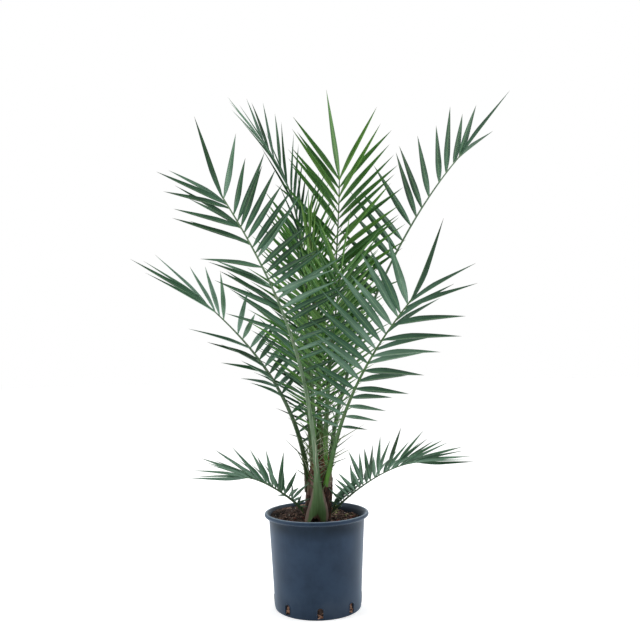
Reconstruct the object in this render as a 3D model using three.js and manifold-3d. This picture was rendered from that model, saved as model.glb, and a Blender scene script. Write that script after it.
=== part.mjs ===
import * as THREE from 'three';
import { mergeVertices } from 'three/addons/utils/BufferGeometryUtils.js';
import Module from 'manifold-3d';

// Young Canary Island date palm in a nursery pot, in millimetres with +Z up.
// The origin is the centre of the pot's flat underside, and the front of the plant is on the -Y side.
// Headings are in degrees: 0 is the right, 90 the back, 180 the left and 270 the front.

const clearance = 0.3;

const pot = {
  height: 217,
  rimRadius: 120,
  neckRadius: 109.5,
  footRadius: 99,
  wall: 2.6,
  floor: 3.4,
  lipHeight: 9.4, // the rolled rim, from its top to its lower edge
  neckDrop: 19, // from the rim's top to where the wall is straight
  footChamfer: 1.2,
  facets: 36,
};
const slot = { count: 8, width: 13, height: 27, foot: 3.4, turn: 2.6, inward: 10 };
const soil = { top: 199.7, facets: 36 };

// The trunk is still a bulb of old leaf bases, a little to the right of the pot's axis.
// It leans to the right: x and y are its middle at the height leanFrom, and lean is the shift for each mm.
const trunk = { x: 9, y: 4, lean: 0.075, leanFrom: 290, foot: 200, top: 385, facets: 20 };
const bulb = [
  // radius and height of each ring, from the flat cut at the soil up to the growing tip
  [30.5, 200],
  [31.5, 212],
  [32, 240],
  [31, 275],
  [28, 296],
  [21, 312],
  [17, 328],
  [14, 345],
  [9.5, 366],
  [5.5, 385],
];
// Leaf bases that were cut off, standing round the bulb.
const stubs = {
  headings: [12, 52, 118, 150, 205, 342],
  rises: [292, 268, 284, 256, 286, 270],
  length: 34,
  width: 19,
  depth: 8,
  lean: 9,
  out: 27,
};

// The leaves of the crown. Each pair of values is for the foot and the tip of the rib.
// foot, tip: heading, distance and height, the foot's from the trunk's axis and the tip's from the pot's
// lean: degrees away from upright; aim: heading of the tip; pull: how far each end holds its direction
// roll: how far the blade is turned about its rib; bare: share of the rib that carries no leaflets
// spread: degrees between leaflet and rib; vee: degrees by which leaflets rise from the blade's plane
// turn: degrees by which the last leaflet leaves the rib's line
// stalk: width of the rib; sheath: how much wider the foot is, and the length over which that fades
// some fronds also set: bend, how late the spread narrows; grow, how soon leaflets reach full length
// rank: degrees by which neighbours stand above and below the vee; last: length of the last leaflet
// lastRoll: degrees by which the last leaflet is turned from edge-on
// loss: which row has lost leaflets, and the share that is lost
// gaps: row, start and end of bare stretches
// crowd: how evenly leaflets are spaced, closer together towards the tip when it is smaller
const fronds = {
  frondFrontLeft: {
    foot: [266.5, 37, 200], tip: [229.2, 272.5, 893], lean: [0, 42.5], aim: 227, pull: [0.4, 0.38],
    roll: [50, 8], bare: 0.24, pairs: 22, leaflet: 160, width: 14, spread: [66, 42], vee: 4, turn: -17,
    stalk: [15, 3], sheath: [40, 55], bend: 4, grow: 2.4, last: 1.12, lastRoll: 95,
    gaps: [[1, 0.655, 0.735], [1, 0.76, 0.8], [1, 0.83, 0.92]], crowd: 0.65,
  },
  frondFrontRight: {
    foot: [297, 33, 279], tip: [315, 281, 681], lean: [14.6, 48], aim: 314.5, pull: [0.28, 0.47],
    roll: [-75, -9], bare: 0.3, pairs: 14, leaflet: 184, width: 15, spread: [84, 50], vee: 17, turn: 20,
    stalk: [13, 3], sheath: [4, 30], bend: 1.6, grow: 1.2, last: 1.22, lastRoll: 95, loss: [-1, 0.2], crowd: 0.75,
  },
  frondLeft: {
    foot: [191.4, 27, 262], tip: [148.7, 323.3, 719], lean: [0, 49.6], aim: 163.7, pull: [0.38, 0.26],
    roll: [-23, -6], bare: 0.2, pairs: 19, leaflet: 190, width: 12, spread: [66, 9], vee: 12, turn: -10,
    stalk: [13, 3], sheath: [4, 30], bend: 3, grow: 1.2, last: 1.05, loss: [1, 0.3],
  },
  frondBackLeft: {
    foot: [147, 19, 302], tip: [134.5, 171, 1113], lean: [5.6, 42.3], aim: 136, pull: [0.54, 0.35],
    roll: [-65, -19], bare: 0.25, pairs: 18, leaflet: 187, width: 11, spread: [34, 10], vee: 40, turn: 0,
    stalk: [11, 3], sheath: [0, 30], grow: 1, last: 0.95,
  },
  frondCentre: {
    foot: [50, 15, 322], tip: [41, 91, 1003], lean: [3, 3], aim: 60, pull: [0.4, 0.3],
    roll: [42, 42], bare: 0.25, pairs: 21, leaflet: 205, width: 15, spread: [62, 34], vee: 10, turn: -8,
    stalk: [10, 3], sheath: [0, 30], last: 1.09, lastRoll: 90,
  },
  frondRight: {
    foot: [5.6, 22, 300], tip: [13.7, 379, 1062.5], lean: [3.4, 42.8], aim: 15, pull: [0.29, 0.3],
    roll: [-62, -72], bare: 0.25, pairs: 19, leaflet: 206, width: 14, spread: [76, 21], vee: 53, turn: 4,
    stalk: [11, 3], sheath: [0, 30], bend: 1.7, grow: 1.2, rank: 16, lastRoll: 20, loss: [-1, 0.75],
  },
  frondLowRight: {
    foot: [351.5, 31, 214], tip: [354.5, 238.4, 329], lean: [30, 88], aim: 351.5, pull: [0.15, 0.36],
    roll: [-25, 6], bare: 0.14, pairs: 16, leaflet: 134, width: 11, spread: [88, 26], vee: 25, turn: -4,
    stalk: [9, 2.4], sheath: [0, 20], bend: 2, grow: 1.8, lastRoll: 30,
  },
  frondLowLeft: {
    foot: [190.6, 31, 214], tip: [186.7, 163, 300], lean: [30, 88], aim: 189, pull: [0.2, 0.25],
    roll: [18, 18], bare: 0.14, pairs: 15, leaflet: 118, width: 11, spread: [100, 12], vee: 24, turn: 0,
    stalk: [8, 2.4], sheath: [0, 20], bend: 1, grow: 1.7, lastRoll: 30,
  },
  frondInnerLeft: {
    foot: [215, 14, 322], tip: [104, 46, 800], lean: [2, 8], aim: 110, pull: [0.4, 0.3],
    roll: [-50, -50], bare: 0.22, pairs: 14, leaflet: 165, width: 14, spread: [55, 30], vee: 8, turn: 0,
    stalk: [9, 3], sheath: [0, 30],
  },
  frondInnerRight: {
    foot: [310, 16, 318], tip: [343, 68, 759], lean: [2, 10], aim: 340, pull: [0.4, 0.3],
    roll: [-60, -60], bare: 0.22, pairs: 13, leaflet: 160, width: 14, spread: [55, 30], vee: 8, turn: 0,
    stalk: [9, 3], sheath: [0, 30],
  },
  frondBack: {
    foot: [95, 22, 296], tip: [82, 290, 800], lean: [5, 46], aim: 80, pull: [0.4, 0.3],
    roll: [0, 0], bare: 0.22, pairs: 17, leaflet: 165, width: 14, spread: [66, 34], vee: 18, turn: 0,
    stalk: [12, 3], sheath: [0, 30],
  },
  frondBackLow: {
    foot: [112, 28, 248], tip: [98, 330, 640], lean: [14, 62], aim: 98, pull: [0.4, 0.3],
    roll: [0, 0], bare: 0.2, pairs: 17, leaflet: 160, width: 14, spread: [66, 34], vee: 18, turn: 0,
    stalk: [13, 3], sheath: [0, 30],
  },
  spearLeaf: {
    foot: [0, 0, 385.4], tip: [180, 4, 855], lean: [1, 1], aim: 180, pull: [0.3, 0.3],
    roll: [90, 90], bare: 0.4, pairs: 5, leaflet: 120, width: 10, spread: [14, 7], vee: 5, turn: 0,
    stalk: [9, 4], sheath: [0, 30],
  },
};

const rib = {
  steps: 11,
  depthShare: 0.75, // depth as a share of the width
  depthLimit: 0.9, // and at most this share of the stalk's width, where the sheath widens
};
const leaflet = {
  belly: 0.36, // where along its length it is widest
  neck: 0.3, // its width at the rib as a share of the widest
  thickness: 0.013, // as a share of its length
  sunk: 4, // how deep the last one is set into the rib's end
  lastShare: 0.95, // length of the last one
  spreadSpray: 10, // degrees from the widest to the narrowest
  veeSpray: 20,
  rank: 9, // for fronds that set none
  bend: 1.2,
  grow: 2.2,
  crowd: 0.9,
};

const radians = THREE.MathUtils.degToRad;

const wasm = await Module();
wasm.setup();

// A closed geometry as a solid that can be joined and cut.
function solidOf(geometry) {
  const bare = geometry.clone();
  bare.deleteAttribute('normal');
  bare.deleteAttribute('uv');
  const merged = mergeVertices(bare, 1e-4);
  return new wasm.Manifold(new wasm.Mesh({
    numProp: 3,
    vertProperties: new Float32Array(merged.attributes.position.array),
    triVerts: new Uint32Array(merged.index.array),
  }));
}

function geometryOf(solid) {
  const mesh = solid.getMesh();
  const geometry = new THREE.BufferGeometry();
  geometry.setAttribute('position', new THREE.BufferAttribute(new Float32Array(mesh.vertProperties), 3));
  geometry.setIndex(new THREE.BufferAttribute(new Uint32Array(mesh.triVerts), 1));
  geometry.computeVertexNormals();
  return geometry;
}

// A body of revolution about Z from a profile of [radius, height] points.
function turned(profile, facets) {
  const points = profile.map(([radius, height]) => new THREE.Vector2(radius, height));
  return new THREE.LatheGeometry(points, facets).rotateX(Math.PI / 2);
}

// A repeatable value between 0 and 1.
function spray(index, seed) {
  const wave = Math.sin(index * 12.9898 + seed * 78.233) * 43758.5453;
  return wave - Math.floor(wave);
}

function place([heading, distance, height]) {
  const angle = radians(heading);
  return new THREE.Vector3(distance * Math.cos(angle), distance * Math.sin(angle), height);
}

// Middle of the trunk at a height, with the height left at zero.
function trunkAxis(height) {
  return new THREE.Vector3(trunk.x + trunk.lean * (height - trunk.leanFrom), trunk.y, 0);
}

function leaning(heading, lean) {
  return place([heading, Math.sin(radians(lean)), Math.cos(radians(lean))]);
}

function moved(geometry, move) {
  const position = geometry.attributes.position;
  const point = new THREE.Vector3();
  for (let i = 0; i < position.count; i += 1) {
    point.fromBufferAttribute(position, i);
    move(point);
    position.setXYZ(i, point.x, point.y, point.z);
  }
  return geometry;
}

// The arc of a leaf's rib: a Bezier curve from its foot to its tip.
function ribCurve(frond) {
  const start = place(frond.foot).add(trunkAxis(frond.foot[2]));
  const end = place(frond.tip);
  const flat = end.clone().sub(start);
  const heading = THREE.MathUtils.radToDeg(Math.atan2(flat.y, flat.x));
  const span = flat.length();
  const out = start.clone().addScaledVector(leaning(heading, frond.lean[0]), span * frond.pull[0]);
  const back = end.clone().addScaledVector(leaning(frond.aim, frond.lean[1]), -span * frond.pull[1]);
  const curve = new THREE.CubicBezierCurve3(start, out, back, end);
  curve.sideways = new THREE.Vector3(Math.sin(radians(heading)), -Math.cos(radians(heading)), 0);
  return curve;
}

// Point, direction, top face and side of the rib at a share of its length.
function ribFrame(frond, curve, share) {
  const point = curve.getPoint(share);
  const along = curve.getTangent(share);
  const flatTop = new THREE.Vector3().crossVectors(curve.sideways, along).normalize();
  const flatSide = new THREE.Vector3().crossVectors(along, flatTop);
  const roll = radians(frond.roll[0] + (frond.roll[1] - frond.roll[0]) * share);
  const top = flatTop.multiplyScalar(Math.cos(roll)).addScaledVector(flatSide, Math.sin(roll));
  const side = new THREE.Vector3().crossVectors(along, top);
  return { point, along, top, side };
}

function ribWidth(frond, curve, share) {
  const length = share * curve.getLength();
  const stalk = frond.stalk[1] + (frond.stalk[0] - frond.stalk[1]) * (1 - share) ** 1.4;
  return stalk + frond.sheath[0] * Math.exp(-((length / frond.sheath[1]) ** 2));
}

// The three-sided rib, flat on its top face and keeled below, made wider all round by grow.
function ribSolid(frond, curve, grow) {
  const shape = new THREE.CylinderGeometry(1, 1, 1, 3, rib.steps).rotateX(Math.PI / 2);
  return solidOf(moved(shape, (point) => {
    const share = 0.5 + point.z;
    const { point: centre, along, top, side } = ribFrame(frond, curve, share);
    const width = ribWidth(frond, curve, share);
    const depth = Math.min(width * rib.depthShare, frond.stalk[0] * rib.depthLimit) + 3 * grow;
    const past = (share < 0.001 ? -grow : 0) + (share > 0.999 ? grow : 0);
    const across = (point.x / Math.sqrt(3)) * (width + 4 * grow);
    const up = (-point.y / 1.5) * depth;
    point.copy(centre).addScaledVector(along, past).addScaledVector(side, across).addScaledVector(top, up);
  }));
}

function leafletSolid(root, direction, along, length, width) {
  const profile = [[0, 0], [leaflet.neck, 0], [1, leaflet.belly], [0, 1]];
  const breadth = along.clone().addScaledVector(direction, -along.dot(direction)).normalize();
  const through = new THREE.Vector3().crossVectors(direction, breadth);
  return solidOf(moved(turned(profile, 3), (point) => {
    const across = (point.x / Math.sqrt(3)) * width;
    const deep = (point.y / 1.5) * length * leaflet.thickness;
    const out = point.z * length;
    point.copy(root).addScaledVector(direction, out).addScaledVector(breadth, across);
    point.addScaledVector(through, deep);
  }));
}

// Every leaflet of a frond: two rows along the rib and one at its end.
function leafletsOf(frond, curve) {
  const leaflets = [];
  for (let pair = 0; pair < frond.pairs; pair += 1) {
    const rank = (pair + 0.5) / frond.pairs;
    const share = frond.bare + (1 - frond.bare) * rank ** (frond.crowd ?? leaflet.crowd);
    const { point, along, top, side } = ribFrame(frond, curve, share);
    const size = Math.min(1, 0.3 + (frond.grow ?? leaflet.grow) * rank) * (1 - 0.1 * rank * rank);
    const width = frond.width * Math.min(1, 0.4 + 1.8 * rank);
    const narrowed = rank ** (frond.bend ?? leaflet.bend);
    const mean = frond.spread[0] + (frond.spread[1] - frond.spread[0]) * narrowed;
    const [lostRow, lostShare] = frond.loss ?? [0, 0];
    const ranked = (frond.rank ?? leaflet.rank) * (pair % 2 ? 1 : -1);
    for (const hand of [-1, 1]) {
      const index = 2 * pair + (hand + 1) / 2;
      const isLost = hand === lostRow && spray(index, frond.leaflet + 41) < lostShare;
      const isBare = (frond.gaps ?? []).some(([row, from, to]) => hand === row && share > from && share < to);
      if (isLost || isBare) {
        continue;
      }
      const spread = radians(mean + leaflet.spreadSpray * (spray(index, frond.leaflet) - 0.5));
      const lift = leaflet.veeSpray * (spray(index, frond.leaflet + 7) - 0.5);
      const vee = radians(frond.vee + lift + ranked);
      const direction = along.clone().multiplyScalar(Math.cos(spread));
      direction.addScaledVector(side, hand * Math.cos(vee) * Math.sin(spread));
      direction.addScaledVector(top, Math.sin(vee) * Math.sin(spread));
      leaflets.push(leafletSolid(point, direction, along, frond.leaflet * size, width));
    }
  }
  const { point, along, top, side } = ribFrame(frond, curve, 1);
  const turn = radians(frond.turn);
  const direction = along.clone().multiplyScalar(Math.cos(turn)).addScaledVector(side, Math.sin(turn));
  const root = point.clone().addScaledVector(along, -leaflet.sunk);
  const flat = radians(frond.lastRoll ?? 0);
  const breadth = top.clone().multiplyScalar(Math.cos(flat)).addScaledVector(side, Math.sin(flat));
  const length = frond.leaflet * (frond.last ?? leaflet.lastShare);
  leaflets.push(leafletSolid(root, direction, breadth, length, frond.width));
  return leaflets;
}

function boxesMeet(one, other) {
  return [0, 1, 2].every((axis) => one.min[axis] < other.max[axis] && other.min[axis] < one.max[axis]);
}

function touches(solid, others) {
  const box = solid.boundingBox();
  return others.some((other) => boxesMeet(box, other.boundingBox()) && !solid.intersect(other).isEmpty());
}

// Grows the crown: all ribs first, then the leaflets, leaving out any that would touch another leaf.
function growCrown(obstacles) {
  const names = Object.keys(fronds);
  const curves = names.map((name) => ribCurve(fronds[name]));
  const ribs = names.map((name, i) => ribSolid(fronds[name], curves[i], 0));
  const wideRibs = names.map((name, i) => ribSolid(fronds[name], curves[i], clearance));
  const grown = names.map(() => []);
  names.forEach((name, i) => {
    const others = [...obstacles, ...wideRibs.filter((_, j) => j !== i), ...grown.flat()];
    for (const blade of leafletsOf(fronds[name], curves[i])) {
      if (!touches(blade, others)) {
        grown[i].push(blade);
      }
    }
  });
  const solids = names.map((name, i) => wasm.Manifold.union([ribs[i], ...grown[i]]));
  return { names, solids, wideRibs };
}

function potSolid() {
  const { height, rimRadius, neckRadius, footRadius, wall, floor, lipHeight, neckDrop, footChamfer } = pot;
  const lip = rimRadius - neckRadius;
  const profile = [
    [0, 0],
    [footRadius - footChamfer, 0],
    [footRadius, footChamfer],
    [neckRadius, height - neckDrop],
    [rimRadius - 0.2 * lip, height - lipHeight],
    [rimRadius, height - lipHeight * 0.6],
    [rimRadius - 0.1 * lip, height - lipHeight * 0.15],
    [rimRadius - 0.45 * lip, height],
    [neckRadius - wall + 1.6, height - lipHeight * 0.6],
    [neckRadius - wall, height - neckDrop],
    [footRadius - wall, floor],
    [0, floor],
  ];
  let solid = solidOf(turned(profile, pot.facets));
  const outline = new THREE.Shape();
  outline.moveTo(-slot.width / 2, slot.foot);
  outline.lineTo(slot.width / 2, slot.foot);
  outline.lineTo(slot.width / 2, slot.height - slot.width / 2);
  outline.absarc(0, slot.height - slot.width / 2, slot.width / 2, 0, Math.PI, false);
  outline.closePath();
  const depth = slot.inward + 8;
  for (let i = 0; i < slot.count; i += 1) {
    const cut = new THREE.ExtrudeGeometry(outline, { depth, bevelEnabled: false, curveSegments: 4 });
    cut.rotateX(Math.PI / 2).rotateZ(Math.PI / 2);
    cut.translate(footRadius - slot.inward, 0, 0);
    cut.rotateZ((i * 2 * Math.PI) / slot.count - Math.PI / 2 + radians(slot.turn));
    solid = solid.subtract(solidOf(cut));
  }
  return solid;
}

function soilSolid() {
  const neckHeight = pot.height - pot.neckDrop;
  const radiusAt = (height) => {
    const share = (height - pot.floor) / (neckHeight - pot.floor);
    return pot.footRadius - pot.wall + (pot.neckRadius - pot.footRadius) * share - 1;
  };
  const foot = pot.floor + clearance;
  const profile = [[0, foot], [radiusAt(foot), foot], [radiusAt(soil.top), soil.top], [0, soil.top]];
  return solidOf(turned(profile, soil.facets));
}

function stubSolid(heading, rise) {
  const wedge = new THREE.CylinderGeometry(0.62, 1, stubs.length, 5, 1).rotateX(Math.PI / 2);
  wedge.scale(stubs.depth / 2, stubs.width / 2, 1);
  wedge.rotateY(radians(stubs.lean));
  wedge.translate(stubs.out, 0, rise - stubs.length / 2);
  wedge.rotateZ(radians(heading));
  wedge.translate(...trunkAxis(rise - stubs.length / 2));
  return solidOf(wedge);
}

function trunkSolid() {
  const profile = [[0, trunk.foot], ...bulb, [0, trunk.top]];
  const body = moved(turned(profile, trunk.facets), (point) => point.add(trunkAxis(point.z)));
  const bases = stubs.headings.map((heading, i) => stubSolid(heading, stubs.rises[i]));
  return wasm.Manifold.union([solidOf(body), ...bases]);
}

const materials = {
  pot: { color: '#46535f', roughness: 0.42, metalness: 0 },
  soil: { color: '#33241c', roughness: 0.95, metalness: 0 },
  trunk: { color: '#4b3430', roughness: 0.9, metalness: 0 },
  frond: { color: '#3f6b3c', roughness: 0.5, metalness: 0 },
};

const group = new THREE.Group();

function add(name, solid, look) {
  const mesh = new THREE.Mesh(geometryOf(solid), new THREE.MeshStandardMaterial(materials[look]));
  mesh.name = name;
  group.add(mesh);
}

add('pot', potSolid(), 'pot');
add('pottingSoil', soilSolid(), 'soil');

const wholeTrunk = trunkSolid();
const crown = growCrown([wholeTrunk]);
add('trunk', wholeTrunk.subtract(wasm.Manifold.union(crown.wideRibs)), 'trunk');
crown.names.forEach((name, i) => add(name, crown.solids[i], 'frond'));

export default group;
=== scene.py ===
import math

import bmesh
import bpy
import numpy as np
from mathutils import Matrix, Vector


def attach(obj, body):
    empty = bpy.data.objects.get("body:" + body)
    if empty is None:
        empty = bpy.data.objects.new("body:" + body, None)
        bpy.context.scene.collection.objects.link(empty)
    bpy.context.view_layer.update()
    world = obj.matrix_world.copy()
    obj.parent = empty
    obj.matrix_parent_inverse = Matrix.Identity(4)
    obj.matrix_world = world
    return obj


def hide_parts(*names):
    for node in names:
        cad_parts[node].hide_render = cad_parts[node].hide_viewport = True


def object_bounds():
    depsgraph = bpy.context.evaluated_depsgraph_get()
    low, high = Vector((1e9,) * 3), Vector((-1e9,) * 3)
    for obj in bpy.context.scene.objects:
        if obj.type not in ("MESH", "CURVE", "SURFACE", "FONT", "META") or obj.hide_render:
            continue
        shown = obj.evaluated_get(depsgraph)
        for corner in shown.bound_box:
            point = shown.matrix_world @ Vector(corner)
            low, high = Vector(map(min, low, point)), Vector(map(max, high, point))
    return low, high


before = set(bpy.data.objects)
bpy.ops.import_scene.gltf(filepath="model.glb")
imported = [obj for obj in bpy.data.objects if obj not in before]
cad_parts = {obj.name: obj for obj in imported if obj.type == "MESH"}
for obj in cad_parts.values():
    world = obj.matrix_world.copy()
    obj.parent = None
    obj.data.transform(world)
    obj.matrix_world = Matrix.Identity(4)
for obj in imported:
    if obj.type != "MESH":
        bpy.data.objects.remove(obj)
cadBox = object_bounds()
print("frame loaded:", len(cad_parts), "nodes")

# Young Canary Island date palm in a nursery pot.
# Sizes are in millimetres with +Z up, as in the part's source, and makePiece turns them into metres.
millimetre = 0.001
upright = np.array((0, 0, 1.0))
scene = bpy.context.scene


def spray(index, seed):  # the source's repeatable value between 0 and 1
    wave = np.sin(np.asarray(index, float) * 12.9898 + seed * 78.233) * 43758.5453
    return wave - np.floor(wave)


def stray(index, seed):  # the same, between -0.5 and 0.5
    return spray(index, seed) - 0.5


def between(span, share):
    return span[0] + (span[1] - span[0]) * share


def deal(span, index, seed):  # a value within the span
    return between(span, spray(index, seed))


def unit(vectors):
    return vectors / np.linalg.norm(vectors, axis=-1, keepdims=True)


def stacked(x, y, z):  # points from their three coordinates
    return np.stack(np.broadcast_arrays(x, y, z), axis=-1)


def polar(radius, angle, height):
    return stacked(radius * np.cos(angle), radius * np.sin(angle), height)


def around(count):  # angles of one full turn
    return np.arange(count) / count * 2 * math.pi


def place(spot):  # heading in degrees, distance and height
    return polar(spot[1], math.radians(spot[0]), spot[2])


def leaning(heading, lean):
    return place((heading, math.sin(math.radians(lean)), math.cos(math.radians(lean))))


def smoothStep(low, high, value):
    share = np.clip((value - low) / (high - low), 0, 1)
    return share * share * (3 - 2 * share)


def ripple(points, scale, seed):  # soft lumps between about -1 and 1, the same in every run
    total = np.zeros(points.shape[:-1])
    for k in range(12):
        finer = 2 ** (k // 4)
        way = unit(stray(np.array((k, k + 50, k + 100)), seed))
        total += np.sin(points @ way * (finer / scale) * 6.28 + 40 * spray(k, seed + 3)) / finer
    return total / 4


def sweep(rings):  # closes a row of rings into one skin, with a cap on each end
    rows, count = rings.shape[:2]
    here = np.arange(count)
    after = (here + 1) % count
    row = (np.arange(rows - 1) * count)[:, None]
    quads = np.stack([row + here, row + after, row + count + after, row + count + here], axis=-1)
    verts = np.concatenate([rings.reshape(-1, 3), rings[0].mean(0)[None], rings[-1].mean(0)[None]])
    foot, tip, last = rows * count, rows * count + 1, (rows - 1) * count
    caps = np.concatenate([stacked(foot, after, here), stacked(tip, last + here, last + after)])
    return verts, quads.reshape(-1, 4), caps


def skinMap(across, share):  # how far across and along each point of a swept skin lies
    flat = np.stack([np.tile(across * 0.5 + 0.5, len(share)), np.repeat(share, len(across))], axis=-1)
    return np.concatenate([flat, [(0.5, 0), (0.5, 1)]])


class Heap:  # meshes gathered as arrays, to become one piece
    def __init__(self):
        self.verts, self.uvs, self.marks, self.quads, self.tris = [], [], [], [], []
        self.count = 0

    def add(self, verts, quads=(), tris=(), uvs=None, slot=0, marks=None):
        for faces, kept in ((quads, self.quads), (tris, self.tris)):
            if len(faces):
                kept.append((faces + self.count, np.full(len(faces), slot)))
        self.verts.append(verts)
        self.uvs.append(np.zeros((len(verts), 2)) if uvs is None else uvs)
        self.marks.append(np.zeros(len(verts)) if marks is None else marks)
        self.count += len(verts)

    def addSkin(self, rings, slot=0):
        self.add(*sweep(np.array(rings)), slot=slot)

    def addStrand(self, points, radii, sides, slot=0):  # a thin round thread along a row of points
        along = unit(np.gradient(points, axis=0))
        helper = np.where(np.abs(along[:, 2:]) < 0.9, (0, 0, 1.0), (1.0, 0, 0))
        side = unit(np.cross(along, helper))
        angle = -around(sides)[None, :, None]
        ring = np.cos(angle) * side[:, None] + np.sin(angle) * np.cross(side, along)[:, None]
        self.addSkin(points[:, None] + ring * radii[:, None, None], slot)


def addObject(name, data):
    made = bpy.data.objects.new(name, data)
    scene.collection.objects.link(made)
    return made


def makePiece(name, heap, finishNames, sharpAngle):
    corners, starts, slots = [], [], []
    start = 0
    for faces, faceSlots in heap.quads + heap.tris:
        corners.append(faces.ravel())
        starts.append(start + np.arange(len(faces)) * faces.shape[1])
        slots.append(faceSlots)
        start += faces.size
    corners, starts, slots = (np.concatenate(rows) for rows in (corners, starts, slots))
    mesh = bpy.data.meshes.new(name)
    mesh.vertices.add(heap.count)
    mesh.vertices.foreach_set("co", np.concatenate(heap.verts).ravel() * millimetre)
    mesh.loops.add(len(corners))
    mesh.loops.foreach_set("vertex_index", corners)
    mesh.polygons.add(len(starts))
    mesh.polygons.foreach_set("loop_start", starts)
    mesh.polygons.foreach_set("material_index", slots)
    mesh.polygons.foreach_set("use_smooth", np.ones(len(starts), bool))
    mesh.update(calc_edges=True)
    mesh.uv_layers.new(name="bladeMap").data.foreach_set("uv", np.concatenate(heap.uvs)[corners].ravel())
    marks = np.concatenate(heap.marks)
    if marks.any():
        mesh.attributes.new("underside", "FLOAT", "POINT").data.foreach_set("value", marks)
    mesh.set_sharp_from_angle(angle=math.radians(sharpAngle))
    for finish in finishNames:
        mesh.materials.append(finishes[finish])
    return addObject(name, mesh)


class Wires:  # a node tree, with short words for the nodes that the finishes are made of
    def __init__(self, tree):
        self.tree = tree

    def fill(self, sockets, values):  # a link where the value is a socket, else the plain value
        for key, value in values.items():
            if isinstance(value, bpy.types.NodeSocket):
                self.tree.links.new(value, sockets[key])
            else:
                sockets[key].default_value = value

    def add(self, kind, values=None, **settings):
        node = self.tree.nodes.new("ShaderNode" + kind)
        for key, value in settings.items():
            setattr(node, key, value)
        self.fill(node.inputs, values or {})
        return node

    def math(self, operation, *values, clamp=False):
        return self.add("Math", dict(enumerate(values)), operation=operation, use_clamp=clamp).outputs[0]

    def minus(self, first, second):
        return self.math("SUBTRACT", first, second)

    def times(self, first, second):
        return self.math("MULTIPLY", first, second)

    def timesPlus(self, first, second, third, clamp=False):
        return self.math("MULTIPLY_ADD", first, second, third, clamp=clamp)

    def blend(self, share, first, second):
        return self.add("Mix", {0: share, 6: first, 7: second}, data_type="RGBA").outputs[2]

    def tint(self, color, tone, mask, amount):  # lays a tone over the colour where the mask is high
        return self.blend(self.times(mask, amount), color, tone)

    def ramp(self, value, low, high, toLow=0.0, toHigh=1.0, soft=True):
        values = {"Value": value, "From Min": low, "From Max": high, "To Min": toLow, "To Max": toHigh}
        kind = "SMOOTHSTEP" if soft else "LINEAR"
        return self.add("MapRange", values, interpolation_type=kind).outputs["Result"]

    def noise(self, vector, scale, detail=3.0, roughness=0.5):
        values = {"Vector": vector, "Scale": scale, "Detail": detail, "Roughness": roughness}
        return self.add("TexNoise", values).outputs[0]

    def bump(self, strength, distance, height):
        return self.add("Bump", {"Strength": strength, "Distance": distance, "Height": height}).outputs[0]

    def joined(self, *values):
        return self.add("CombineXYZ", dict(enumerate(values))).outputs[0]

    def scaled(self, vector, by):
        return self.add("VectorMath", {0: vector, 1: by}, operation="MULTIPLY").outputs[0]

    def spot(self):  # the point's place on the piece, in metres
        return self.add("TexCoord").outputs["Object"]

    def bladeMap(self):  # how far across, how far along and how far from the middle line
        uv = self.add("UVMap", uv_map="bladeMap").outputs[0]
        parts = self.add("SeparateXYZ", {0: uv}).outputs
        return parts[0], parts[1], self.math("ABSOLUTE", self.minus(parts[0], 0.5))


def newGroup(name, inputs, outputs):
    group = bpy.data.node_groups.new(name, "ShaderNodeTree")
    for label, value in inputs.items():
        kind = "NodeSocketColor" if isinstance(value, tuple) else "NodeSocketFloat"
        group.interface.new_socket(label, in_out="INPUT", socket_type=kind).default_value = value
    for label, kind in outputs.items():
        group.interface.new_socket(label, in_out="OUTPUT", socket_type="NodeSocket" + kind)
    given = group.nodes.new("NodeGroupInput").outputs
    return group, Wires(group), given, group.nodes.new("NodeGroupOutput").inputs


def newMaterial(name, roughness, specular):
    material = bpy.data.materials.new(name)
    material.use_nodes = True
    material.node_tree.nodes.clear()
    wires = Wires(material.node_tree)
    shader = wires.add("BsdfPrincipled", {"Roughness": roughness, "Specular IOR Level": specular})
    wires.add("OutputMaterial", {"Surface": shader.outputs[0]})
    return material, wires, shader.inputs


def seenTone(red, green, blue):  # a tone as a screen shows it, turned into the light it stands for
    tone = [((c / 255 + 0.055) / 1.055) ** 2.4 if c > 10 else c / 3295 for c in (red, green, blue)]
    return (*tone, 1.0)


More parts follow.
